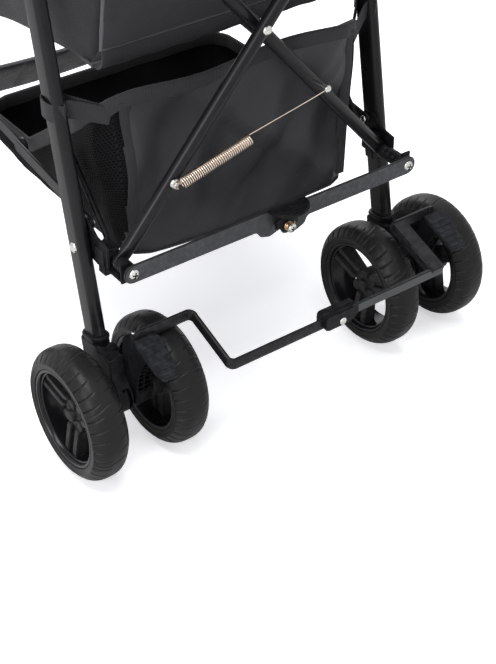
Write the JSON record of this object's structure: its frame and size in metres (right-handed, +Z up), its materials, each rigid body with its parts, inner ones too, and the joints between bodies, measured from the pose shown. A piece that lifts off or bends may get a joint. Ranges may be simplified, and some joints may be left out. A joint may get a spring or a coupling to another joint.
{
  "type": "pushchair",
  "caption": "Umbrella-fold pushchair with twin wheels, flat-oval side tubes, crossed rear tubes, linked foot brake, sling seat, basket and canopy.",
  "frame": {"origin": "on the floor, at the middle of the overall box's length and width", "axes": "+Z up, +Y towards the front wheels, +X to the right as seen from behind; the two sides mirror each other across X apart from the layered centre parts and brake pedals"},
  "size_m": [0.5602, 0.83, 1.0255],
  "materials": {
    "black_tube": "satin black powder coat",
    "grey_bar": "satin dark grey",
    "black_plastic": "moulded black, fine grain",
    "tyre": "matt foam tyre with cut grooves",
    "gloss_rim": "gloss black",
    "zinc_steel": "zinc plated",
    "spring_wire": "copper-coloured spring wire",
    "grip_foam": "matt foam",
    "black_fabric": "woven polyester",
    "mesh_cloth": "woven polyester with mesh sides",
    "webbing": "woven webbing"
  },
  "bodies": {
    "left_frame": {"push_tube_left": "black_tube", "grip_left": "grip_foam", "leg_hinge_left": "black_plastic", "castor_socket_left": "black_plastic", "stay_collar_left": "black_plastic", "seat_cushion": "black_fabric", "backrest_cushion": "black_fabric", "harness": "webbing", "calf_rest": "black_fabric", "canopy": "black_fabric", "canopy_bow": "black_plastic"},
    "right_frame": {"push_tube_right": "black_tube", "grip_right": "grip_foam", "leg_hinge_right": "black_plastic", "castor_socket_right": "black_plastic", "stay_collar_right": "black_plastic"},
    "leg_left": {"rear_leg_left": "black_tube", "axle_housing_left": "black_plastic", "rear_axle_left": "zinc_steel", "basket": "mesh_cloth"},
    "leg_right": {"rear_leg_right": "black_tube", "axle_housing_right": "black_plastic", "rear_axle_right": "zinc_steel"},
    "bracket_left": {"lower_bracket_left": "black_plastic"},
    "bracket_right": {"lower_bracket_right": "black_plastic"},
    "cross_left": {"cross_tube_left": "black_tube", "tension_spring": "spring_wire"},
    "cross_right": {"cross_tube_right": "black_tube"},
    "slider_left": {"cross_slider_left": "black_plastic"},
    "slider_right": {"cross_slider_right": "black_plastic"},
    "brace_left": {"brace_bar_left": "grey_bar"},
    "brace_right": {"brace_bar_right": "grey_bar", "torsion_spring": "spring_wire"},
    "lever": {"foot_lever": "black_plastic"},
    "stay_rear_left": {"side_stay_rear_left": "black_tube"},
    "stay_rear_right": {"side_stay_rear_right": "black_tube"},
    "stay_front_left": {"side_stay_front_left": "black_tube"},
    "stay_front_right": {"side_stay_front_right": "black_tube"},
    "pedal_left": {"brake_pedal_left": "black_plastic"},
    "pedal_right": {"brake_pedal_right": "black_plastic"},
    "brake_bar": {"brake_bar": "grey_bar"},
    "brake_arm": {"brake_arm": "black_plastic"},
    "castor_left": {"castor_fork_left": "black_plastic"},
    "castor_right": {"castor_fork_right": "black_plastic"},
    "wheel_rear_left_outer": {"tyre_rear_left_outer": "tyre", "rim_rear_left_outer": "gloss_rim"},
    "wheel_rear_left_inner": {"tyre_rear_left_inner": "tyre", "rim_rear_left_inner": "gloss_rim"},
    "wheel_rear_right_outer": {"tyre_rear_right_outer": "tyre", "rim_rear_right_outer": "gloss_rim"},
    "wheel_rear_right_inner": {"tyre_rear_right_inner": "tyre", "rim_rear_right_inner": "gloss_rim"},
    "wheel_front_left_outer": {"tyre_front_left_outer": "tyre", "rim_front_left_outer": "gloss_rim"},
    "wheel_front_left_inner": {"tyre_front_left_inner": "tyre", "rim_front_left_inner": "gloss_rim"},
    "wheel_front_right_outer": {"tyre_front_right_outer": "tyre", "rim_front_right_outer": "gloss_rim"},
    "wheel_front_right_inner": {"tyre_front_right_inner": "tyre", "rim_front_right_inner": "gloss_rim"}
  },
  "joints": [
    {"name": "frame_fold", "type": "slide", "parent": "left_frame", "child": "right_frame", "axis": [-1, 0, 0], "range_m": [0, 0.25], "deforming": ["seat_cushion", "backrest_cushion", "harness", "calf_rest", "canopy", "canopy_bow", "basket", "tension_spring"]},
    {"name": "leg_left_fold", "type": "hinge", "parent": "left_frame", "child": "leg_left", "pos_m": [-0.206, -0.01833, 0.556], "axis": [1, 0, 0], "range_deg": [0, 36.1]},
    {"name": "bracket_left_tilt", "type": "hinge", "parent": "leg_left", "child": "bracket_left", "pos_m": [-0.206, -0.076, 0.2415], "axis": [1, 0, 0], "range_deg": [-6.7, 0]},
    {"name": "cross_left_swing", "type": "hinge", "parent": "bracket_left", "child": "cross_left", "pos_m": [-0.187, -0.124, 0.238], "axis": [0, 1, 0], "range_deg": [-28.8, 0]},
    {"name": "slider_left_travel", "type": "slide", "parent": "left_frame", "child": "slider_left", "axis": [0, -0.669, 0.7433], "range_m": [0, 0.092]},
    {"name": "brace_left_swing", "type": "hinge", "parent": "bracket_left", "child": "brace_left", "pos_m": [-0.187, -0.1505, 0.238], "axis": [0, 1, 0], "range_deg": [-66.9, 0]},
    {"name": "stay_rear_left_swing", "type": "hinge", "parent": "bracket_left", "child": "stay_rear_left", "pos_m": [-0.19, -0.0735, 0.2625], "axis": [1, 0, 0], "range_deg": [0, 41.4]},
    {"name": "stay_front_left_swing", "type": "hinge", "parent": "left_frame", "child": "stay_front_left", "pos_m": [-0.1862, 0.2245, 0.309], "axis": [1, 0, 0], "range_deg": [-65.8, 0]},
    {"name": "leg_right_fold", "type": "hinge", "parent": "right_frame", "child": "leg_right", "pos_m": [0.206, -0.01833, 0.556], "axis": [1, 0, 0], "range_deg": [0, 36.1]},
    {"name": "bracket_right_tilt", "type": "hinge", "parent": "leg_right", "child": "bracket_right", "pos_m": [0.206, -0.076, 0.2415], "axis": [1, 0, 0], "range_deg": [-6.7, 0]},
    {"name": "cross_right_swing", "type": "hinge", "parent": "bracket_right", "child": "cross_right", "pos_m": [0.187, -0.1075, 0.238], "axis": [0, 1, 0], "range_deg": [0, 28.8]},
    {"name": "slider_right_travel", "type": "slide", "parent": "right_frame", "child": "slider_right", "axis": [0, -0.669, 0.7433], "range_m": [0, 0.092]},
    {"name": "brace_right_swing", "type": "hinge", "parent": "bracket_right", "child": "brace_right", "pos_m": [0.187, -0.1542, 0.238], "axis": [0, 1, 0], "range_deg": [0, 81.2]},
    {"name": "stay_rear_right_swing", "type": "hinge", "parent": "bracket_right", "child": "stay_rear_right", "pos_m": [0.19, -0.0735, 0.2625], "axis": [1, 0, 0], "range_deg": [0, 41.4]},
    {"name": "stay_front_right_swing", "type": "hinge", "parent": "right_frame", "child": "stay_front_right", "pos_m": [0.1862, 0.2245, 0.309], "axis": [1, 0, 0], "range_deg": [-65.8, 0]},
    {"name": "foot_lever_press", "type": "hinge", "parent": "brace_right", "child": "lever", "pos_m": [0.008, -0.156, 0.228], "axis": [0, 1, 0], "range_deg": [0, 25], "stiffness_Nm_per_rad": 0.35, "springref_deg": -8.59},
    {"name": "brake_press", "type": "hinge", "parent": "leg_left", "child": "pedal_left", "pos_m": [-0.1872, -0.1375, 0.0775], "axis": [1, 0, 0], "range_deg": [0, 18]},
    {"name": "brake_right_turn", "type": "hinge", "parent": "leg_right", "child": "pedal_right", "pos_m": [0.2248, -0.1375, 0.0775], "axis": [1, 0, 0], "range_deg": [0, 18.5]},
    {"name": "brake_bar_swing", "type": "hinge", "parent": "pedal_left", "child": "brake_bar", "pos_m": [-0.1872, -0.1575, 0.163], "axis": [0, 1, 0], "range_deg": [-66.7, 0]},
    {"name": "brake_arm_swing", "type": "hinge", "parent": "pedal_right", "child": "brake_arm", "pos_m": [0.2248, -0.1575, 0.163], "axis": [0, 1, 0], "range_deg": [0, 87.2]},
    {"name": "castor_left_swivel", "type": "hinge", "parent": "left_frame", "child": "castor_left", "pos_m": [-0.206, 0.3675, 0.166], "axis": [0, 0, 1], "continuous": true},
    {"name": "wheel_rear_left_outer_spin", "type": "hinge", "parent": "leg_left", "child": "wheel_rear_left_outer", "pos_m": [-0.2579, -0.1375, 0.0775], "axis": [1, 0, 0], "continuous": true},
    {"name": "wheel_rear_left_inner_spin", "type": "hinge", "parent": "leg_left", "child": "wheel_rear_left_inner", "pos_m": [-0.1537, -0.1375, 0.0775], "axis": [1, 0, 0], "continuous": true},
    {"name": "wheel_front_left_outer_spin", "type": "hinge", "parent": "castor_left", "child": "wheel_front_left_outer", "pos_m": [-0.242, 0.3375, 0.0775], "axis": [1, 0, 0], "continuous": true},
    {"name": "wheel_front_left_inner_spin", "type": "hinge", "parent": "castor_left", "child": "wheel_front_left_inner", "pos_m": [-0.17, 0.3375, 0.0775], "axis": [1, 0, 0], "continuous": true},
    {"name": "castor_right_swivel", "type": "hinge", "parent": "right_frame", "child": "castor_right", "pos_m": [0.206, 0.3675, 0.166], "axis": [0, 0, 1], "continuous": true},
    {"name": "wheel_rear_right_outer_spin", "type": "hinge", "parent": "leg_right", "child": "wheel_rear_right_outer", "pos_m": [0.2579, -0.1375, 0.0775], "axis": [1, 0, 0], "continuous": true},
    {"name": "wheel_rear_right_inner_spin", "type": "hinge", "parent": "leg_right", "child": "wheel_rear_right_inner", "pos_m": [0.1537, -0.1375, 0.0775], "axis": [1, 0, 0], "continuous": true},
    {"name": "wheel_front_right_outer_spin", "type": "hinge", "parent": "castor_right", "child": "wheel_front_right_outer", "pos_m": [0.242, 0.3375, 0.0775], "axis": [1, 0, 0], "continuous": true},
    {"name": "wheel_front_right_inner_spin", "type": "hinge", "parent": "castor_right", "child": "wheel_front_right_inner", "pos_m": [0.17, 0.3375, 0.0775], "axis": [1, 0, 0], "continuous": true}
  ],
  "couplings": [
    {"joint": "leg_left_fold", "follows": "frame_fold", "rad_per_m": 2.5133},
    {"joint": "bracket_left_tilt", "follows": "frame_fold", "rad_per_m": -0.45611},
    {"joint": "cross_left_swing", "follows": "frame_fold", "rad_per_m": -2.0008},
    {"joint": "slider_left_travel", "follows": "frame_fold", "ratio": 0.36598},
    {"joint": "brace_left_swing", "follows": "frame_fold", "rad_per_m": -4.6608},
    {"joint": "stay_rear_left_swing", "follows": "frame_fold", "rad_per_m": 2.8809},
    {"joint": "stay_front_left_swing", "follows": "frame_fold", "rad_per_m": -4.5827},
    {"joint": "leg_right_fold", "follows": "frame_fold", "rad_per_m": 2.5133},
    {"joint": "bracket_right_tilt", "follows": "frame_fold", "rad_per_m": -0.45611},
    {"joint": "cross_right_swing", "follows": "frame_fold", "rad_per_m": 2.0008},
    {"joint": "slider_right_travel", "follows": "frame_fold", "ratio": 0.36598},
    {"joint": "brace_right_swing", "follows": "frame_fold", "rad_per_m": 5.655},
    {"joint": "stay_rear_right_swing", "follows": "frame_fold", "rad_per_m": 2.8809},
    {"joint": "stay_front_right_swing", "follows": "frame_fold", "rad_per_m": -4.5827},
    {"joint": "brake_right_turn", "follows": "brake_press", "ratio": 1},
    {"joint": "brake_bar_swing", "follows": "frame_fold", "rad_per_m": -4.6452},
    {"joint": "brake_arm_swing", "follows": "frame_fold", "rad_per_m": 6.0759}
  ]
}
